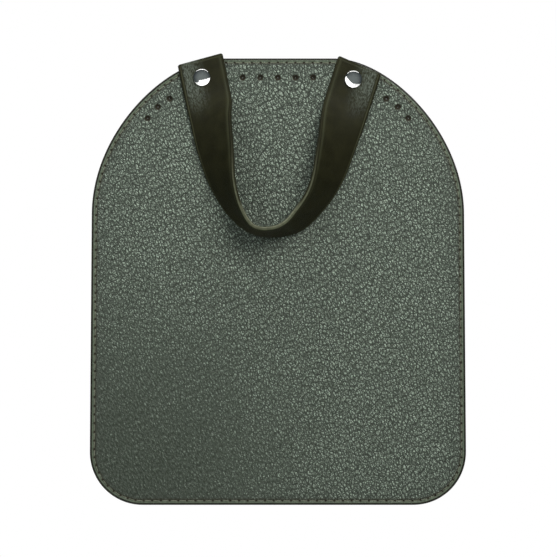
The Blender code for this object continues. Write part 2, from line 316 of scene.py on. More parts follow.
def pebbles(place):
    """Height of the pebbled grain, 0 in the creases and 1 on the tops, and how strongly a painted
    highlight shows on each spot. There are more big pebbles behind the handle than elsewhere."""
    drift = moved(with_the_lay(place, 0.62), 9.0, 1.5)
    bent = moved(drift, 1.2, 0.45)
    small, small_tone = domes(bent, PEBBLE)
    large, large_tone = domes(bent, BIG_PEBBLE)
    behind_handle = smooth(distance_to(place, *HANDLE_MIDDLE), 95.0, 15.0, -0.03, 0.20)
    where = smooth(plus(noise_of(place, 9.0), behind_handle), 0.50, 0.64)
    top = mixed(where, small, large)
    tone = mixed(where, small_tone, large_tone)
    wrinkle = smooth(noise_of(place, 0.66, 2.0, 0.55), 0.30, 0.70)
    pebbled = plus(times(top, 0.56), times(wrinkle, 0.46))
    pebbled = times(pebbled, mixed(crease_net(place), 0.38, 1.10))
    creased = times(fine_creases(place), 0.95)
    calm = times(flank(place), 0.72)
    return mixed(calm, pebbled, creased), mixed(0.70, tone, wrinkle)


def new_material(name):
    """A material with nodes, and its Principled shader."""
    mat = bpy.data.materials.new(name)
    mat.use_nodes = True
    return mat, mat.node_tree, mat.node_tree.nodes["Principled BSDF"]


def attribute(tree, name):
    return node(tree, "ShaderNodeAttribute", attribute_name=name).outputs["Fac"]


def bump(shader, height, depth, base=None):
    """Relief of the given depth in millimetres, on top of another bump's if base is given."""
    inputs = {"Height": height, "Distance": depth * MM, "Strength": 1.0}
    if base is not None:
        inputs["Normal"] = base
    normal = derived("ShaderNodeBump", inputs).outputs[0]
    set_inputs(shader, {"Normal": normal})
    return normal


def pebbled_leather():
    mat, tree, shader = new_material("pebbled_leather")
    place = in_plane(object_position(tree))
    height, painted_highlight_share = pebbles(place)
    painted_crease_shade_colour = (0.009, 0.014, 0.007)
    slope_colour = (0.058, 0.078, 0.055)
    painted_highlight_colour = (0.446, 0.540, 0.436)
    flank_colour = (0.016, 0.026, 0.012)
    painted_border_shade_colour = (0.012, 0.016, 0.009)
    ridge_colour = (0.106, 0.139, 0.086)
    painted_hole_shade_colour = (0.021, 0.017, 0.007)
    # Painted shade darkens the creases between the pebbles.
    colour = tint(smooth(height, 0.14, 0.56), painted_crease_shade_colour, slope_colour)
    # Painted highlight on the pebble tops, stronger on some spots than others.
    painted_highlight_mask = times(smooth(height, 0.60, 1.0), smooth(painted_highlight_share, 0.28, 0.82, 0.10, 1.0))
    colour = tint(painted_highlight_mask, colour, painted_highlight_colour)
    # The fine-grained patch at the lower left is also darker.
    colour = tint(times(flank(place), 0.58), colour, flank_colour)
    # Painted shade near the edge.
    colour = tint(attribute(tree, "border"), colour, painted_border_shade_colour)
    blotch = smooth(noise_of(place, 1.6, 3.0), 0.35, 0.65, 0.55, 1.0)
    colour = tint(times(attribute(tree, "ridge"), blotch), colour, ridge_colour)
    # Painted shade in the holes and the sewn channel.
    pit = attribute(tree, "pit")
    colour = tint(pit, colour, painted_hole_shade_colour)
    rough = mixed(smooth(height, 0.2, 1.0), 0.62, 0.36)
    rough = mixed(pit, rough, 0.8)
    set_inputs(shader, {"Base Color": colour, "Roughness": rough, "Specular IOR Level": 0.5})
    pores = bump(shader, noise_of(place, 0.45, 2.0, 0.7), 0.025)
    bump(shader, times(height, attribute(tree, "grain")), 0.20, pores)
    return mat


def edge_paint():
    mat, tree, shader = new_material("edge_paint")
    place = scaled(object_position(tree), 1.0 / MM)
    streak = noise_of(place, 2.2, 3.0)
    colour = tint(smooth(streak, 0.35, 0.7), (0.006, 0.0065, 0.003), (0.016, 0.017, 0.008))
    rough = smooth(streak, 0.3, 0.7, 0.40, 0.56)
    set_inputs(shader, {"Base Color": colour, "Roughness": rough, "Specular IOR Level": 0.25})
    bump(shader, noise_of(place, 0.7, 3.0), 0.04)
    return mat


def suede():
    mat, tree, shader = new_material("suede_lining")
    place = in_plane(object_position(tree))
    nap = noise_of(place, 0.55, 4.0, 0.7)
    brushed = noise_of(moved(place, 20.0, 6.0), 14.0, 3.0)
    colour = tint(smooth(nap, 0.3, 0.7), (0.052, 0.056, 0.036), (0.098, 0.104, 0.070))
    colour = tint(smooth(brushed, 0.35, 0.65, 0.0, 0.5), colour, (0.110, 0.118, 0.082))
    # Painted shade in and round the sewing and needle holes.
    colour = tint(attribute(tree, "pit"), colour, (0.020, 0.018, 0.010))
    set_inputs(shader, {"Base Color": colour, "Roughness": 0.95})
    set_inputs(shader, {"Sheen Weight": 0.35, "Sheen Roughness": 0.5})
    bump(shader, nap, 0.10)
    return mat


def fibre_board():
    mat, tree, shader = new_material("fibre_board")
    place = in_plane(object_position(tree))
    fibres = noise_of(place, 0.8, 4.0, 0.7)
    colour = tint(smooth(fibres, 0.3, 0.7), (0.22, 0.17, 0.11), (0.38, 0.31, 0.21))
    set_inputs(shader, {"Base Color": colour, "Roughness": 0.9})
    bump(shader, fibres, 0.06)
    return mat


def thread():
    mat, tree, shader = new_material("thread")
    place = scaled(object_position(tree), 1.0 / MM)
    fuzz = noise_of(place, 0.4, 3.0, 0.7)
    wear_and_sheen = noise_of(place, 9.0, 1.0)
    colour = tint(smooth(fuzz, 0.3, 0.7), (0.088, 0.098, 0.058), (0.225, 0.245, 0.165))
    colour = tint(smooth(wear_and_sheen, 0.4, 0.7, 0.0, 0.4), colour, (0.23, 0.245, 0.165))
    set_inputs(shader, {"Base Color": colour, "Roughness": 0.6, "Sheen Weight": 0.3})
    return mat


def strap_material(name, dark, painted_cut_side_shade, pale):
    """Smooth olive leather with painted highlights along its creased lines and a painted, crinkled sheen
    round the rivets. Its cut sides carry painted shade, and show their own pale colour only where the
    strap hangs."""
    mat, tree, shader = new_material(name)
    painted_line_highlight_colour = (0.062, 0.066, 0.036)
    painted_sheen_colour = (0.170, 0.198, 0.163)
    place = node(tree, "ShaderNodeAttribute", attribute_name="flat_place").outputs["Vector"]
    drawn_out = moved(vectors("MULTIPLY", place, (0.55, 1.0, 1.0)), 1.2, 0.3)
    pores = net(drawn_out, 0.62, 0.0, 0.22)
    cloudy = noise_of(place, 7.0, 3.0)
    body = tint(smooth(cloudy, 0.3, 0.75), dark, tuple(1.5 * c for c in dark))
    # Painted highlight along the creased lines and inside the inner edge.
    body = tint(times(attribute(tree, "crease"), 0.85), body, painted_line_highlight_colour)
    crinkled = moved(vectors("MULTIPLY", place, (0.42, 1.0, 1.0)), 3.0, 0.8)
    crinkles = noise_of(crinkled, 0.66, 2.0, 0.65)
    # Painted sheen: crinkled greenish streaks round the rivets.
    wear_and_sheen = attribute(tree, "wear_and_sheen")
    streaks = smooth(crinkles, 0.38, 0.64, 0.15, 1.0)
    body = tint(times(wear_and_sheen, streaks), body, painted_sheen_colour)
    side = attribute(tree, "side")
    uneven = smooth(noise_of(place, 1.6, 2.0), 0.3, 0.7)
    bare = tint(uneven, pale, tuple(0.75 * c for c in pale))
    # The cut sides take painted shade, or their own pale colour where the strap hangs.
    colour = tint(side, body, tint(attribute(tree, "unshaded_side"), painted_cut_side_shade, bare))
    rough = mixed(side, smooth(cloudy, 0.3, 0.7, 0.44, 0.56), 0.6)
    set_inputs(shader, {"Base Color": colour, "Roughness": rough, "Specular IOR Level": 0.09})
    height = plus(pores, times(noise_of(place, 2.4, 2.0), 0.6))
    handled = times(times(crinkles, wear_and_sheen), 2.0)
    bump(shader, plus(height, handled), 0.05)
    return mat


def nickel():
    mat, tree, shader = new_material("nickel")
    place = scaled(object_position(tree), 1.0 / MM)
    rub = noise_of(place, 1.3, 4.0, 0.65)
    colour = tint(smooth(rub, 0.35, 0.75), (0.80, 0.80, 0.79), (0.70, 0.70, 0.68))
    rough = smooth(rub, 0.35, 0.75, 0.07, 0.16)
    set_inputs(shader, {"Base Color": colour, "Roughness": rough, "Metallic": 1.0})
    bump(shader, noise_of(place, 2.5, 1.0), 0.003)
    return mat


def pale_floor():
    mat, tree, shader = new_material("pale_floor")
    pale = (0.86, 0.86, 0.85)
    speckle = noise_of(object_position(tree), 0.025, 4.0)
    colour = tint(speckle, pale, tuple(0.97 * c for c in pale))
    set_inputs(shader, {"Base Color": colour, "Roughness": 0.6})
    return mat


# -------- meshes

def add_piece(name, points, faces, mat, attributes=None, smooth_angle=50.0):
    """A mesh object from millimetre points. attributes holds a number or a vector for each point."""
    mesh = bpy.data.meshes.new(name)
    mesh.from_pydata([tuple(MM * c for c in p) for p in points], [], faces)
    for key, values in (attributes or {}).items():
        values = np.asarray(values, np.float32)
        kind = "FLOAT_VECTOR" if values.ndim == 2 else "FLOAT"
        layer = mesh.attributes.new(key, kind, "POINT")
        layer.data.foreach_set("vector" if values.ndim == 2 else "value", values.ravel())
    mesh.materials.append(mat)
    face_outward(mesh)
    mesh.shade_smooth()
    mesh.set_sharp_from_angle(angle=radians(smooth_angle))
    return add_object(name, mesh)


def add_object(name, data):
    made = bpy.data.objects.new(name, data)
    bpy.context.scene.collection.objects.link(made)
    return made


def face_outward(mesh):
    bm = bmesh.new()
    bm.from_mesh(mesh)
    bmesh.ops.recalc_face_normals(bm, faces=bm.faces)
    bm.to_mesh(mesh)
    bm.free()


def band(low, high, closed=True):
    """Quads between two equal runs of vertex numbers."""
    count = len(low)
    steps = count if closed else count - 1
    return [(low[i], low[(i + 1) % count], high[(i + 1) % count], high[i]) for i in range(steps)]


def bezier(p0, p1, p2, p3, t):
    s = 1.0 - t
    return p0 * s ** 3 + p1 * 3 * s * s * t + p2 * 3 * s * t * t + p3 * t ** 3


def right_half():
    """Fine points (x, z) down the flap's right side, from the top's middle to the bottom's middle."""
    crown = np.array((CROWN_WIDTH / 2, 0.0))
    shoulder = np.array((SHOULDER_WIDTH / 2, -ARCH_HEIGHT))
    pull_out = crown + (CROWN_PULL, 0.0)
    pull_up = shoulder + (0.0, SHOULDER_PULL)
    points = [np.array((0.0, 0.0))]
    for i in range(61):
        points.append(bezier(crown, pull_out, pull_up, shoulder, i / 60))
    corner = np.array((PANEL_WIDTH / 2 - CORNER_RADIUS, CORNER_RADIUS - PANEL_HEIGHT))
    for i in range(31):
        angle = -pi / 2 * i / 30
        points.append(corner + CORNER_RADIUS * np.array((cos(angle), sin(angle))))
    points.append(np.array((0.0, -PANEL_HEIGHT)))
    return np.array(points)


def fine_outline():
    right = right_half()
    left = right[::-1][1:-1] * (-1.0, 1.0)
    return np.vstack((right, left)) + (0.0, TOP_Z)


def perimeter():
    loop = fine_outline()
    return float(np.linalg.norm(np.roll(loop, -1, 0) - loop, axis=1).sum())


def outline(count, inset=0.0, shift=0.0):
    """count points (x, z) spaced equally round the flap, moved inward by inset, and inward normals.

    shift moves them along the edge, as a part of their spacing.
    """
    loop = fine_outline()
    closed = np.vstack((loop, loop[:1]))
    reach = np.concatenate(([0.0], np.cumsum(np.linalg.norm(np.diff(closed, axis=0), axis=1))))
    at = (np.arange(count) + shift) % count * reach[-1] / count

    def sample(where):
        where = where % reach[-1]
        return np.stack([np.interp(where, reach, closed[:, k]) for k in (0, 1)], axis=1)

    along = sample(at + 1.0) - sample(at - 1.0)
    along /= np.linalg.norm(along, axis=1)[:, None]
    inward = np.stack((along[:, 1], -along[:, 0]), axis=1)
    return sample(at) + inward * inset, inward


def circle(centre, radius, count, turn=0.0):
    angles = turn + 2 * pi * np.arange(count) / count
    return np.stack((centre[0] + radius * np.cos(angles), centre[1] + radius * np.sin(angles)), axis=1)


def triangles(points, loops, holes):
    """Vertices, and Delaunay triangles inside the first loop but not in a hole (x, z, radius)."""
    edges = []
    for loop in loops:
        edges += zip(loop, loop[1:] + loop[:1])
    found = geometry.delaunay_2d_cdt([Vector(p) for p in points], edges, [], 1, 1e-5)
    verts = np.array([tuple(v) for v in found[0]])
    faces = np.array(found[2])
    middle = verts[faces].mean(axis=1)
    keep = np.ones(len(faces), bool)
    for x, z, radius in holes:
        keep &= np.hypot(middle[:, 0] - x, middle[:, 1] - z) > radius * 0.97
    return verts, faces[keep].tolist()


def step(value, low, high):
    """A smooth step of an array from 0 at low to 1 at high."""
    t = np.clip((value - low) / (high - low), 0.0, 1.0)
    return t * t * (3 - 2 * t)


def bell(value, centre, width):
    """A bell curve of an array, 1 at centre."""
    return np.exp(-((value - centre) / width) ** 2)


def sewing_holes():
    """Centres (x, z) of the middle row and of both shoulders."""
    centres = []
    for i in range(MIDDLE_HOLES):
        centres.append(((i - (MIDDLE_HOLES - 1) / 2) * MIDDLE_PITCH, TOP_Z - HOLE_ROW_DROP))
    for x, drop in SIDE_HOLES:
        centres.append((-x, TOP_Z - drop))
        centres.append((x, TOP_Z - drop))
    return centres


def rivet_centres():
    return {hand: (x, TOP_Z - drop) for hand, (x, drop) in RIVETS.items()}


def stitch_count():
    return round(perimeter() / STITCH_PITCH)


def stitch_holes():
    """Centres (x, z) of the needle holes."""
    return outline(stitch_count(), STITCH_INSET)[0]


def nearest(points, targets):
    """Distance from each point to the nearest target."""
    tree = kdtree.KDTree(len(targets))
    for i, target in enumerate(targets):
        tree.insert((*target, 0.0), i)
    tree.balance()
    return np.array([tree.find((*point, 0.0))[2] for point in points])


def inset_of(points):
    """How far each point lies inside the flap's edge."""
    return nearest(points, outline(EDGE_SAMPLES)[0])


def lattice(spacing, margin):
    """A hexagonal lattice of points (x, z) that keeps margin from the flap's edge."""
    rows = []
    height = spacing * sqrt(3) / 2
    low_z = TOP_Z - PANEL_HEIGHT
    for i in range(int(PANEL_HEIGHT / height) + 1):
        start = -PANEL_WIDTH / 2 + (0.5 * spacing if i % 2 else 0.0)
        x = np.arange(start, PANEL_WIDTH / 2, spacing)
        rows.append(np.stack((x, np.full(len(x), low_z + i * height)), axis=1))
    points = np.vstack(rows)
    return points[inside(points, margin)]


def inside(points, margin):
    """Which points lie inside the flap by more than margin."""
    loop = outline(400, margin)[0]
    within = np.zeros(len(points), bool)
    for (x0, z0), (x1, z1) in zip(loop, np.roll(loop, -1, 0)):
        if z0 == z1:
            continue
        crosses = (points[:, 1] < z0) != (points[:, 1] < z1)
        at = x0 + (points[:, 1] - z0) * (x1 - x0) / (z1 - z0)
        within ^= crosses & (points[:, 0] < at)
    return within


def away_from(points, centres, radius):
    keep = np.ones(len(points), bool)
    for x, z in centres:
        keep &= np.hypot(points[:, 0] - x, points[:, 1] - z) > radius
    return points[keep]


# -------- sheets

def sheet_loops(count, waist, sides):
    """Points of a sheet's edge and holes in groups, the loops of their numbers, and the holes as
    (x, z, radius). A sewing hole has waist as its radius."""
    groups = [outline(count, LEATHER_INSET)[0]]
    holes = []
    for centre in sewing_holes():
        groups.append(circle(centre, waist, sides))
        holes.append((*centre, waist))
    for centre in rivet_centres().values():
        groups.append(circle(centre, RIVET_HOLE, 16))
        holes.append((*centre, RIVET_HOLE))
    return groups, numbered(groups), holes


def at_depths(rings, profile):
    """All points of rings (x, z), each ring at the depth in its row of the profile."""
    return [(x, -row[1], z) for ring, row in zip(rings, profile) for x, z in ring]


def numbered(groups):
    """For each group of points, the numbers that its points have when all groups are stacked."""
    loops = []
    total = 0
    for group in groups:
        loops.append(list(range(total, total + len(group))))
        total += len(group)
    return loops


def staggered_rings(count, insets):
    """Rings of points inside the flap's edge, every other one shifted by half a step."""
    return [outline(count, inset, 0.5 * (1 - k % 2))[0] for k, inset in enumerate(insets)]


def hole_rings(radii, count, turn):
    """Rings of points round each sewing hole, each turned a little further than the one inside it."""
    return [circle(centre, radius, count, turn * k)
            for centre in sewing_holes() for k, radius in enumerate(radii)]


# -------- the front leather

def leather_points():
    """The leather's surface points, close together at its edge and holes, and its loops and holes."""
    count = round(perimeter() / GRAIN_STEP)
    groups, loops, holes = sheet_loops(count, HOLE_WAIST, 16)
    insets = (0.42, 0.58, 0.80, 1.05, 1.35, 1.65, 1.9, 2.1, 2.3, 2.5, 2.75, 3.05)
    pits = stitch_holes()
    groups.append(away_from(np.vstack(staggered_rings(count, insets)), pits, 0.62))
    for centre in pits:
        groups += [np.array([centre]), circle(centre, 0.24, 6), circle(centre, 0.48, 8, 0.3)]
    groups += hole_rings((0.90, 1.1, 1.3, 1.48, 1.66, 1.9, 2.25), 20, 0.16)
    field = lattice(GRAIN_STEP, FIELD_INSET)
    field = away_from(field, sewing_holes(), 2.6)
    field = away_from(field, rivet_centres().values(), RIVET_HOLE + 0.4)
    groups.append(field)
    return np.vstack(groups), loops, holes


def leather_height(points, inset):
    """Height of the bare leather over its front plane: rolled edge, ridge, sewn channel, holes."""
    toward = np.clip((LEATHER_INSET + ROLL_WIDTH - inset) / ROLL_WIDTH, 0.0, 1.0)
    height = -ROLL_DEPTH * (1.0 - np.sqrt(1.0 - toward ** 2))
    height += RIDGE_HEIGHT * bell(inset, RIDGE_INSET, 0.42)
    pit = nearest(points, stitch_holes())
    tight = 0.75 + 0.45 * bell(pit, 0.0, 0.9)
    height -= CHANNEL_DEPTH * tight * bell(inset, STITCH_INSET, CHANNEL_WIDTH)
    height -= PIT_DEPTH * bell(pit, 0.0, 0.30)
    hole = nearest(points, sewing_holes())
    height += HOLE_LIP * bell(hole, 2.0, 0.35)
    depth = PANEL_FRONT - PANEL_BACK - 0.06
    height -= depth * (1.0 - step(hole, HOLE_WAIST, HOLE_RADIUS + 0.25))
    sway = 0.10 * np.sin(points[:, 0] / 19.0 + 1.3) * np.sin(points[:, 1] / 23.0)
    sway += 0.05 * np.sin(points[:, 0] / 8.3 - points[:, 1] / 11.7)
    return height + sway * step(inset, 3.0, 12.0), pit, hole


def build_front_leather(mat):
    points, loops, holes = leather_points()
    verts, faces = triangles(points, loops, holes)
    inset = inset_of(verts)
    height, pit, hole = leather_height(verts, inset)
    grain = step(inset, 2.35, 3.3) * step(hole, 1.5, 2.5)
    ridge = step(inset, 0.3, 0.9) * (1.0 - step(inset, 1.75, 2.15))
    # Painted shade in the needle holes, down the sewing holes' funnels and along the sewn channel.
    dark = np.maximum(1.0 - step(pit, 0.42, 0.95), 1.0 - step(hole, 1.45, 1.85))
    dark = np.maximum(dark, 0.62 * bell(inset, 2.75, 0.50))
    # Painted shade, strongest within 3 mm of the edge and fading inward.
    border = 0.26 * np.exp(-np.maximum(inset - 3.0, 0.0) / 4.5)
    front = [(x, -(PANEL_FRONT + h), z) for (x, z), h in zip(verts, height)]
    shift = len(front)
    back_loops = numbered(loops)
    back_points = np.vstack([verts[loop] for loop in loops] + [lattice(9.0, 4.0)])
    back_verts, back_faces = triangles(back_points, back_loops, holes)
    back = [(x, -PANEL_BACK, z) for x, z in back_verts]
    faces += [[i + shift for i in face] for face in back_faces]
    for loop, back_loop in zip(loops, back_loops):
        faces += band(loop, [i + shift for i in back_loop])
    zeros = np.zeros(len(back))
    front_looks = {"grain": grain, "ridge": ridge, "pit": dark, "border": border}
    attributes = {key: np.concatenate((values, zeros)) for key, values in front_looks.items()}
    return raise_grain(add_piece("front_leather", front + back, faces, mat, attributes, 60.0))


def raise_grain(obj):
    """Lift the pebbles out of the mesh, in the pattern that the leather's material shows."""
    tree = bpy.data.node_groups.new("raise_grain", "GeometryNodeTree")
    for way in ("INPUT", "OUTPUT"):
        tree.interface.new_socket("Geometry", in_out=way, socket_type="NodeSocketGeometry")
    start = node(tree, "NodeGroupInput")
    place = in_plane(node(tree, "GeometryNodeInputPosition").outputs[0])
    height = pebbles(place)[0]
    mask = node(tree, "GeometryNodeInputNamedAttribute", {"Name": "grain"}, data_type="FLOAT").outputs[0]
    lift = times(times(height, mask), -GRAIN_DEPTH * MM)
    offset = node(tree, "ShaderNodeCombineXYZ", {1: lift}).outputs[0]
    inputs = {"Geometry": start.outputs[0], "Offset": offset}
    lifted = node(tree, "GeometryNodeSetPosition", inputs).outputs[0]
    node(tree, "NodeGroupOutput", {0: lifted})
    modifier = obj.modifiers.new("raise_grain", "NODES")
    modifier.node_group = tree
    graph = bpy.context.evaluated_depsgraph_get()
    obj.data = bpy.data.meshes.new_from_object(obj.evaluated_get(graph))
    obj.modifiers.remove(modifier)
    return obj


# -------- edge paint and lining

def build_edge_paint(mat):
    """A bead that laps both faces and hides the laminate's cut edge, with a faint dip at each joint."""
    profile = paint_profile()
    count = round(perimeter() / PAINT_STEP)
    rings = [outline(count, inset)[0] for inset, depth in profile]
    loops = numbered(rings)
    faces = []
    for low, high in zip(loops, loops[1:] + loops[:1]):
        faces += band(low, high)
    return add_piece("edge_paint", at_depths(rings, profile), faces, mat)


def paint_profile():
    """(inset, depth) round the bead: the front's lap, the edge, the back's lap and the inside."""
    lap = PAINT_REACH
    profile = []
    for i in range(9):
        angle = pi / 2 * i / 8
        depth = PANEL_FRONT - 0.62 * (1 - cos(angle)) + PAINT_FILM
        profile.append((lap * (1 - sin(angle)), depth))
    profile += [(0.0, 2.55), (0.06, 2.25), (0.0, 1.95), (0.0, 1.25), (0.06, 0.95), (0.0, 0.70)]
    for i in range(1, 8):
        angle = pi / 2 * i / 7
        profile.append((lap * (1 - cos(angle)), 0.50 * (1 - sin(angle)) - PAINT_FILM))
    return profile + [(lap, 0.10), (0.31, 0.5), (0.31, PANEL_FRONT - 0.6), (lap, PANEL_FRONT - 0.12)]


def build_lining(mat):
    """Suede with a shallow sewn channel and puckers on the back, pierced at the sewing holes."""
    count = round(perimeter() / LINING_EDGE_STEP)
    groups, loops, holes = sheet_loops(count, LINING_HOLE, 10)
    groups += staggered_rings(count, (0.6, 1.0, 1.5, 1.9, 2.3, 2.7, 3.2, 4.2, 6.0))
    groups += hole_rings((0.5, 0.9, 1.4, 2.0), 12, 0.2)
    field = away_from(lattice(LINING_STEP, 7.0), sewing_holes(), 2.8)
    field = away_from(field, rivet_centres().values(), RIVET_HOLE + 1.2)
    groups.append(field)
    verts, faces = triangles(np.vstack(groups), loops, holes)
    inset = inset_of(verts)
    pit = nearest(verts, stitch_holes())
    hole = nearest(verts, sewing_holes())
    toward = np.clip((LEATHER_INSET + 0.4 - inset) / 0.4, 0.0, 1.0)
    dent = 0.35 * (1.0 - np.sqrt(1.0 - toward ** 2))
    dent += 0.16 * (0.6 + 0.5 * bell(pit, 0.0, 0.9)) * bell(inset, STITCH_INSET, 0.5)
    dent -= 0.12 * bell(hole, 0.9, 0.5)
    sway = 0.05 * np.sin(verts[:, 0] / 17.0) * np.sin(verts[:, 1] / 21.0 + 0.7)
    dent += sway * step(inset, 3.0, 12.0)
    # Painted shade round the sewing holes and the needle holes.
    dark = np.maximum(0.8 * (1.0 - step(hole, 0.25, 0.6)), 1.0 - step(pit, 0.2, 0.6))
    outer = [(x, -d, z) for (x, z), d in zip(verts, dent)]
    inner = [(x, -LINING_FRONT, z) for x, z in verts]
    shift = len(outer)
    faces += [[i + shift for i in face] for face in faces]
    for loop in loops:
        faces += band(loop, [i + shift for i in loop])
    attributes = {"pit": np.concatenate((dark, dark))}
    return add_piece("lining_suede", outer + inner, faces, mat, attributes, 60.0)


# -------- stitches

def build_stitches(name, mat, diameter, strands, crest, dip, slant, seed):
    """A twisted stitch from each needle hole to the next, crest deep in its middle, dip at its ends."""
    draw = random.Random(seed)
    strand = STRAND_SHARE * diameter
    orbit = diameter / 2 - strand
    count = stitch_count()
    turns = STITCH_TURNS * perimeter() / count / STITCH_PITCH
    path, inward = outline(count * PATH_STEPS, STITCH_INSET)
    points = []
    faces = []
    for k in range(count):
        phase = draw.uniform(0.0, 2 * pi)
        lift = draw.uniform(-0.04, 0.05)
        aside = draw.uniform(-0.06, 0.06)
        for m in range(strands):
            first = len(points)
            for i in range(STITCH_STEPS + 1):
                t = i / STITCH_STEPS
                where = (k + STITCH_GAP + (1 - 2 * STITCH_GAP) * t) * PATH_STEPS
                low = int(where) % len(path)
                f = where - int(where)
                spot = path[low] * (1 - f) + path[(low + 1) % len(path)] * f
                turn = phase + 2 * pi * (m / strands + turns * t)
                side = aside + slant * (t - 0.5) + orbit * cos(turn)
                rise = 1.0 - abs(2 * t - 1) ** 5
                depth = dip + (crest + lift - dip) * rise + orbit * sin(turn)
                swell = 1.0 - 0.25 * abs(2 * t - 1) ** 8
                for out, level in circle((side, depth), strand * swell, STRAND_SIDES):
                    x, z = spot + inward[low] * out
                    points.append((x, -level, z))
            rings = [list(range(v, v + STRAND_SIDES)) for v in range(first, len(points), STRAND_SIDES)]
            for low_ring, high_ring in zip(rings, rings[1:]):
                faces += band(low_ring, high_ring)
            faces += [rings[0], rings[-1]]
    return add_piece(name, points, faces, mat, smooth_angle=80.0)


# -------- the strap handle

def spline(values, t):
    """Catmull-Rom through an array of rows; t runs from 0 to its last row."""
    last = len(values) - 1
    i = min(int(t), last - 1)
    f = t - i
    a = values[max(i - 1, 0)]
    b = values[i]
    c = values[i + 1]
    d = values[min(i + 2, last)]
    bend = 2 * a - 5 * b + 4 * c - d
    twist = 3 * b - a - 3 * c + d
    return 0.5 * (2 * b + (c - a) * f + bend * f * f + twist * f ** 3)


def strap_ruling(t):
    """The outer edge point of the strap's front face at t, and the unit ruling across it."""
    stations = np.array(STRAP_STATIONS) * (1.0, -1.0, 1.0) + (0.0, TOP_Z, 0.0)
    last = len(stations) - 1
    x, z, lean = spline(stations, t)
    along = spline(stations, min(t + 0.02, last)) - spline(stations, max(t - 0.02, 0.0))
    across = np.array((-along[1], along[0])) / hypot(along[0], along[1])
    skew = radians(LEFT_END_SKEW * max(1.0 - t, 0.0) - RIGHT_END_SKEW * max(t - last + 1.0, 0.0))
    turned = (across[0] * cos(skew) - across[1] * sin(skew),
              across[0] * sin(skew) + across[1] * cos(skew))
    lean = radians(max(lean, 0.0))
    outer = np.array((x, -(STRAP_BACK + STRAP_THICKNESS * cos(lean)), z))
    return outer, np.array((turned[0] * cos(lean), -sin(lean), turned[1] * cos(lean)))


def strap_lengthwise():
    """Fine values of t from end to end, and how far along the strap's middle each lies."""
    fine = np.linspace(0.0, len(STRAP_STATIONS) - 1.0, 900)
    middle = []
    for t in fine:
        outer, ruling = strap_ruling(t)
        middle.append(outer + ruling * STRAP_WIDTH / 2)
    steps = np.linalg.norm(np.diff(np.array(middle), axis=0), axis=1)
    return fine, np.concatenate(([0.0], np.cumsum(steps)))


def graded(length, count):
    """Positions from 0 to length, close together at both ends and count of them evenly between."""
    near = np.array(EDGE_STEPS)
    middle = np.linspace(near[-1], length - near[-1], count)
    return np.concatenate((near[:-1], middle, length - near[-2::-1]))


def strap_edge_distance(u, s, length):
    """How far a point of the strap lies inside its outline, which has rounded corners."""
    qx = np.abs(u - length / 2) - (length / 2 - STRAP_CORNER)
    qy = np.abs(s - STRAP_WIDTH / 2) - (STRAP_WIDTH / 2 - STRAP_CORNER)
    outside = np.hypot(np.maximum(qx, 0.0), np.maximum(qy, 0.0))
    return STRAP_CORNER - outside - np.minimum(np.maximum(qx, qy), 0.0)


def strap_points():
    """For each grid point: place and normal of the CAD strap's front face, u, s and edge distance.

    u runs along the strap from its left end, and s across it from its outer edge.
    """
    fine, reach = strap_lengthwise()
    length = reach[-1]
    along = graded(length, round(length / STRAP_STEP))
    across = graded(STRAP_WIDTH, 15)
    places = np.zeros((len(along), len(across), 3))
    rulings = []
    widths = np.zeros((len(along), len(across)))
    for i, (u, t) in enumerate(zip(along, np.interp(along, reach, fine))):
        outer, ruling = strap_ruling(t)
        end = min(u, length - u, STRAP_CORNER)
        trim = STRAP_CORNER - sqrt(STRAP_CORNER ** 2 - (STRAP_CORNER - end) ** 2)
        s = trim + across * (STRAP_WIDTH - 2 * trim) / STRAP_WIDTH
        widths[i] = s
        places[i] = outer + ruling * s[:, None]
        rulings.append(ruling)
    normals = np.cross(np.gradient(places, axis=0), np.array(rulings)[:, None, :])
    normals /= np.linalg.norm(normals, axis=2)[:, :, None]
    lengths = np.repeat(along[:, None], len(across), 1)
    inset = strap_edge_distance(lengths, widths, length)
    return places, normals, lengths, widths, np.maximum(inset, 0.0)


def rivet_distance(places):
    """Distance in the flap's plane from each point to the nearest rivet."""
    found = np.full(places.shape[:2], 1e3)
    for x, z in rivet_centres().values():
        found = np.minimum(found, np.hypot(places[:, :, 0] - x, places[:, :, 2] - z))
    return found


def strap_depths(places, s, inset, front):
    """Depths below the strap's front face of a layer's two faces, with its rolled edges and creases."""
    press = DIMPLE * (1.0 - step(rivet_distance(places), 3.6, 8.5))
    roll = EDGE_ROLL - np.sqrt(EDGE_ROLL ** 2 - np.maximum(EDGE_ROLL - inset, 0.0) ** 2)
    crease = 0.13 * bell(inset, 1.25, 0.17) - 0.05 * bell(inset, 0.75, 0.3)
    crown = -0.10 * np.sin(pi * s / STRAP_WIDTH)
    gap = 0.06 * bell(inset, 0.0, 0.2)
    if front:
        return roll + crease + crown + press, SEAM - 0.01 + press * 0.9 - gap
    return SEAM + 0.01 + press * 0.9 + gap, STRAP_THICKNESS - roll - 0.6 * crease


def strap_rim(places, normals, numbers, top, bottom):
    """Round the strip: the numbers of its rim points, and a point a little outside the rim at each."""
    loop = numbers[0, :-1].tolist() + numbers[:-1, -1].tolist()
    loop += numbers[-1, :0:-1].tolist() + numbers[:0:-1, 0].tolist()
    centre = places.mean(axis=1)
    bulge = []
    for v in loop:
        i, j = divmod(v, numbers.shape[1])
        away = places[i, j] - centre[i]
        away = away - normals[i, j] * away.dot(normals[i, j])
        bulge.append((top[v] + bottom[v]) / 2 + away / np.linalg.norm(away) * 0.07)
    return loop, bulge


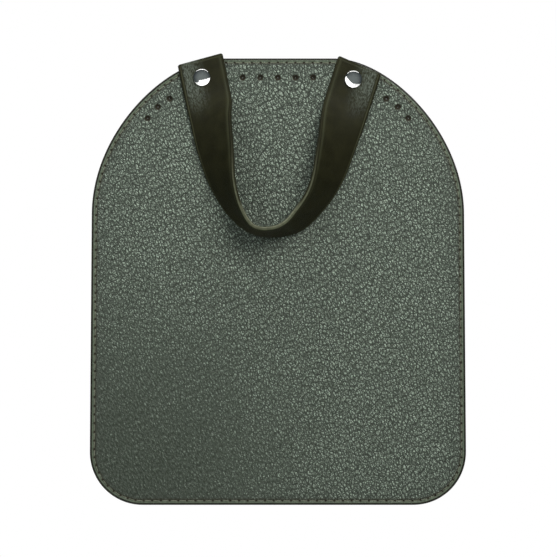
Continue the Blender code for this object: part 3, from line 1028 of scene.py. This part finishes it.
def build_strap_layer(name, mat, front):
    """The face layer if front is true, or else the backing, as one closed strip with rounded edges."""
    places, normals, u, s, inset = strap_points()
    upper, lower = strap_depths(places, s, inset, front)
    top = (places - normals * upper[:, :, None]).reshape(-1, 3)
    bottom = (places - normals * lower[:, :, None]).reshape(-1, 3)
    count = len(top)
    numbers = np.arange(count).reshape(s.shape)
    loop, bulge = strap_rim(places, normals, numbers, top, bottom)
    middle = list(range(2 * count, 2 * count + len(bulge)))
    faces = band(loop, middle) + band(middle, [v + count for v in loop])
    for low, high in zip(numbers, numbers[1:]):
        faces += band(low.tolist(), high.tolist(), closed=False)
        faces += band((low + count).tolist(), (high + count).tolist(), closed=False)
    side, back_side, unshaded_side, crease, wear_and_sheen, flat = strap_looks(places, u, s, inset, front)
    none = np.zeros(len(bulge))
    attributes = {
        "side": np.concatenate((side, back_side, none + 1.0)),
        "unshaded_side": np.concatenate((unshaded_side, unshaded_side, unshaded_side[loop])),
        "crease": np.concatenate((crease, crease, none)),
        "wear_and_sheen": np.concatenate((wear_and_sheen, np.zeros(count), none)),
        "flat_place": np.vstack((flat, flat, flat[loop])),
    }
    points = np.vstack((top, bottom, np.array(bulge)))
    return add_piece(name, points.tolist(), faces, mat, attributes, 70.0)


def strap_looks(places, u, s, inset, front):
    """For each grid point: cut side in front and behind, unshaded side, painted line highlight, painted
    sheen, place.
    """
    # Painted shade covers the cut sides, except on the inner half where the strap hangs, where their own
    # pale colour shows.
    unshaded_from, unshaded_to = (22.0, 62.0) if front else (57.0, 67.0)
    inner_half = step(s, 0.45 * STRAP_WIDTH, 0.55 * STRAP_WIDTH)
    unshaded_side = step(-places[:, :, 2], unshaded_from, unshaded_to) * inner_half
    side = 1.0 - step(inset, 0.02, 0.30 + 0.35 * unshaded_side)
    back_side = side if front else 1.0 - step(inset, 0.0, 0.10)
    # Painted highlight: a soft stripe inside the inner edge, and a thin line along each creased line.
    cut = np.minimum(np.minimum(s, u), u[-1, 0] - u)
    inner_edge_highlight = 0.62 * bell(STRAP_WIDTH - s, 1.8, 0.65) * step(inset, 0.2, 1.0)
    crease = np.maximum(bell(cut, 1.15, 0.24), inner_edge_highlight)
    flat = np.stack((u.ravel(), s.ravel(), np.zeros(u.size)), axis=1)
    wear_and_sheen = painted_strap_sheen(places, s)
    return side.ravel(), back_side.ravel(), unshaded_side.ravel(), crease.ravel(), wear_and_sheen.ravel(), flat


def painted_strap_sheen(places, s):
    """Where a greenish sheen is painted: round the rivets, toward the strap's outer edge."""
    near = rivet_distance(places)
    outward = 1.0 - step(s, 3.5, 15.5)
    reach = np.where(near < 6.5, 3.0, 8.5)
    return 0.85 * bell(near, 6.5, reach) * outward * step(s, 1.4, 2.6)


# -------- rivets

def build_turned(name, profile, centre, mat):
    """Turn a profile of (radius, depth) points that starts and ends on a rivet's axis about it."""
    rings = [circle(centre, radius, RIVET_SIDES if radius else 1) for radius, depth in profile]
    loops = numbered(rings)
    faces = []
    for low, high in zip(loops, loops[1:]):
        for k in range(RIVET_SIDES):
            m = (k + 1) % RIVET_SIDES
            if len(low) == 1:
                faces.append((low[0], high[k], high[m]))
            elif len(high) == 1:
                faces.append((low[k], low[m], high[0]))
            else:
                faces.append((low[k], low[m], high[m], high[k]))
    return add_piece(name, at_depths(rings, profile), faces, mat, smooth_angle=35.0)


def cap_profile(base, height, direction):
    """A spun cap: hollow underneath, a rolled rim, and a shallow top that is part of a ball."""
    rim = RIVET_HEAD / 2
    roll = 0.60
    slope = radians(CAP_SLOPE)
    edge_radius = rim - roll + roll * sin(slope)
    ball = edge_radius / sin(slope)
    edge_height = height - ball * (1.0 - cos(slope))
    roll_height = max(edge_height - roll * cos(slope), roll + 0.01)
    hollow = 0.8 * height
    points = [(0.0, hollow - 0.35), (rim * 0.45, hollow - 0.45), (rim - 0.85, 0.12), (rim - 0.72, 0.0)]
    for i in range(5):
        angle = -pi / 2 * (1 - i / 4)
        points.append((rim - roll + roll * cos(angle), roll + roll * sin(angle)))
    for i in range(11):
        angle = (pi / 2 - slope) * i / 10
        points.append((rim - roll + roll * cos(angle), roll_height + roll * sin(angle)))
    edge_height = points[-1][1]
    steps = 14
    for i in range(1, steps + 1):
        angle = slope * (1 - i / steps)
        points.append((ball * sin(angle), edge_height + ball * (cos(angle) - cos(slope))))
    return [(r, base + direction * h) for r, h in points]


def build_rivet(hand, mat):
    centre = rivet_centres()[hand]
    strap_front = STRAP_BACK + STRAP_THICKNESS
    base = strap_front - DIMPLE - 0.04
    total = strap_front + 0.3 + CAP_HEIGHT - base
    cap = build_turned("rivet_cap_" + hand + "_spun", cap_profile(base, total, 1), centre, mat)
    post_cap = cap_profile(-0.02, BACK_CAP_HEIGHT + 0.25, -1)
    shank = RIVET_HOLE - 0.3
    tip = base + 0.55 * total
    shank_profile = [(0.0, tip), (shank * 0.8, tip), (shank, tip - 0.25), (shank, -0.02)]
    post = build_turned("rivet_post_" + hand + "_spun", shank_profile + post_cap[3:], centre, mat)
    return cap, post


# -------- stage, lights and camera

ROOM_STRENGTH = 0.20
CAMERA_DISTANCE = 3.7015
CAMERA_LENS = 450.0
CAMERA_X = 0.0003
CAMERA_Z = -0.0998

# The cards beside the rivets: which cap, the card's roll, and its place relative to the cap in metres.
CAP_CARDS = (
    ("left", 18.0, (0.16, -0.33, -0.24)),
    ("right", -55.0, (-0.25, -0.26, -0.18)),
)


def build_floor():
    mesh = bpy.data.meshes.new("floor")
    bm = bmesh.new()
    bmesh.ops.create_circle(bm, cap_ends=True, segments=96, radius=1.5)
    bm.to_mesh(mesh)
    bm.free()
    mesh.materials.append(pale_floor())
    floor = add_object("floor", mesh)
    floor.location = (0.0, 0.0, -0.90)
    floor.visible_diffuse = False      # a pale floor, without its glare on the flap's lower half
    return floor


def build_world():
    """White to the camera; to everything else a dim, cool studio that is brightest round the camera."""
    world = bpy.data.worlds.new("studio")
    world.use_nodes = True
    tree = world.node_tree
    tree.nodes.clear()
    direction = node(tree, "ShaderNodeTexCoord").outputs["Generated"]
    away = node(tree, "ShaderNodeSeparateXYZ", {0: direction}).outputs[1]
    shade = tint(smooth(away, -0.42, -1.0), (0.18, 0.22, 0.24), (0.88, 1.00, 0.99))
    backdrop = node(tree, "ShaderNodeBackground", {"Color": (1.0, 1.0, 1.0, 1.0), "Strength": 1.0})
    room = node(tree, "ShaderNodeBackground", {"Color": shade, "Strength": ROOM_STRENGTH})
    seen = node(tree, "ShaderNodeLightPath").outputs["Is Camera Ray"]
    both = node(tree, "ShaderNodeMixShader", {0: seen, 1: room.outputs[0], 2: backdrop.outputs[0]})
    node(tree, "ShaderNodeOutputWorld", {"Surface": both.outputs[0]})
    bpy.context.scene.world = world


def add_softbox(name, place, target, size, power, colour=(1.0, 1.0, 1.0)):
    light = bpy.data.lights.new(name, "AREA")
    light.shape = "RECTANGLE"
    light.size, light.size_y = size
    light.energy = power
    light.color = colour
    softbox = add_object(name, light)
    softbox.location = place
    aim = Vector(target) - Vector(place)
    softbox.rotation_euler = aim.to_track_quat("-Z", "Y").to_euler()
    softbox.visible_camera = False
    return softbox


def limit_light(light, pieces, state):
    """Make a light reach only these pieces (INCLUDE) or everything but them (EXCLUDE)."""
    group = bpy.data.collections.new(light.name + "_reach")
    for piece in pieces:
        group.objects.link(piece)
    light.light_linking.receiver_collection = group
    for entry in group.collection_objects:
        entry.light_linking.link_state = state


def build_lights(caps, floor):
    """Softboxes in front, overhead and behind light the flap, one more lights the floor alone, and
    white cards show in the rivets' caps."""
    middle = (0.0, 0.0, -0.08)
    key = add_softbox("key", (0.32, -0.90, 0.42), middle, (0.46, 0.46), 7.8, (1.0, 0.99, 0.96))
    fill = add_softbox("fill", (-0.60, -0.80, 0.16), middle, (0.40, 0.50), 2.6, (0.96, 0.98, 0.98))
    overhead = add_softbox("overhead", (0.0, -0.16, 0.62), middle, (0.70, 0.16), 2.3, (0.97, 0.99, 1.0))
    add_softbox("back", (0.3, 0.9, 0.4), middle, (0.6, 0.6), 6.0)
    for light in (key, fill, overhead):
        limit_light(light, caps.values(), "EXCLUDE")
    wash = add_softbox("wash", (0.0, 0.0, 1.6), (0.0, 0.0, -0.9), (3.5, 3.5), 130.0)
    limit_light(wash, [floor], "INCLUDE")
    arc = add_softbox("card_above", (0.0, -0.14, 0.50), (0.0, 0.0, 0.0), (0.90, 0.26), 2.0)
    limit_light(arc, caps.values(), "INCLUDE")
    for hand, roll, offset in CAP_CARDS:
        x, z = rivet_centres()[hand]
        place = Vector((x * MM, 0.0, z * MM)) + Vector(offset)
        card = add_softbox("card_" + hand, place, (x * MM, 0.0, z * MM), (0.80, 0.34), 1.6)
        card.rotation_euler.rotate_axis("Z", radians(roll))
        limit_light(card, [caps[hand]], "INCLUDE")


def build_camera():
    data = bpy.data.cameras.new("camera")
    data.lens = CAMERA_LENS
    data.sensor_width = 36.0
    camera = add_object("camera", data)
    camera.location = (CAMERA_X, -CAMERA_DISTANCE - PANEL_FRONT * MM, CAMERA_Z)
    camera.rotation_euler = (pi / 2, 0.0, 0.0)
    bpy.context.scene.camera = camera


# -------- assembly

def settle(piece, slot, *nodes):
    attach(piece, "flap")
    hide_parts(*nodes)


def build_flap():
    settle(build_front_leather(pebbled_leather()), "pebbled_leather", "front_panel")
    paint = build_edge_paint(edge_paint())
    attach(paint, "flap")
    settle(build_lining(suede()), "suede_lining", "lining_panel")
    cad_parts["stiffener_board"].data.materials[0] = fibre_board()
    cotton = thread()
    crest = PANEL_FRONT - 0.06
    needle = build_stitches("needle_stitches", cotton, NEEDLE_THREAD, 3, crest, crest - 0.75, 0.16, 3)
    settle(needle, "thread", "needle_thread")
    bobbin = build_stitches("bobbin_stitches", cotton, BOBBIN_THREAD, 2, 0.06, 0.6, -0.14, 5)
    settle(bobbin, "thread", "bobbin_thread")


def build_handle():
    # Painted shade for the cut sides of the strap.
    painted_cut_side_shade = (0.020, 0.020, 0.010)
    face = strap_material("strap_leather", (0.015, 0.0148, 0.0062), painted_cut_side_shade, (0.105, 0.113, 0.069))
    backing = strap_material("strap_backing", (0.026, 0.027, 0.014), painted_cut_side_shade, (0.195, 0.206, 0.140))
    for layer, slot, leather in (("face", "strap_leather", face), ("backing", "strap_backing", backing)):
        piece = build_strap_layer("strap_" + layer, leather, layer == "face")
        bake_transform(piece)
        parts = ["strap_{}_{}".format(layer, part) for part in ("left_end", "loop", "right_end")]
        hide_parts(*parts)


def build_rivets():
    metal = nickel()
    caps = {}
    for hand in RIVETS:
        cap, post = build_rivet(hand, metal)
        settle(cap, "nickel", "rivet_cap_" + hand)
        settle(post, "nickel", "rivet_post_" + hand)
        caps[hand] = cap
    return caps


def main():
    bpy.context.scene.view_settings.view_transform = "Standard"
    build_camera()
    build_world()
    floor = build_floor()
    build_flap()
    build_handle()
    build_lights(build_rivets(), floor)


main()
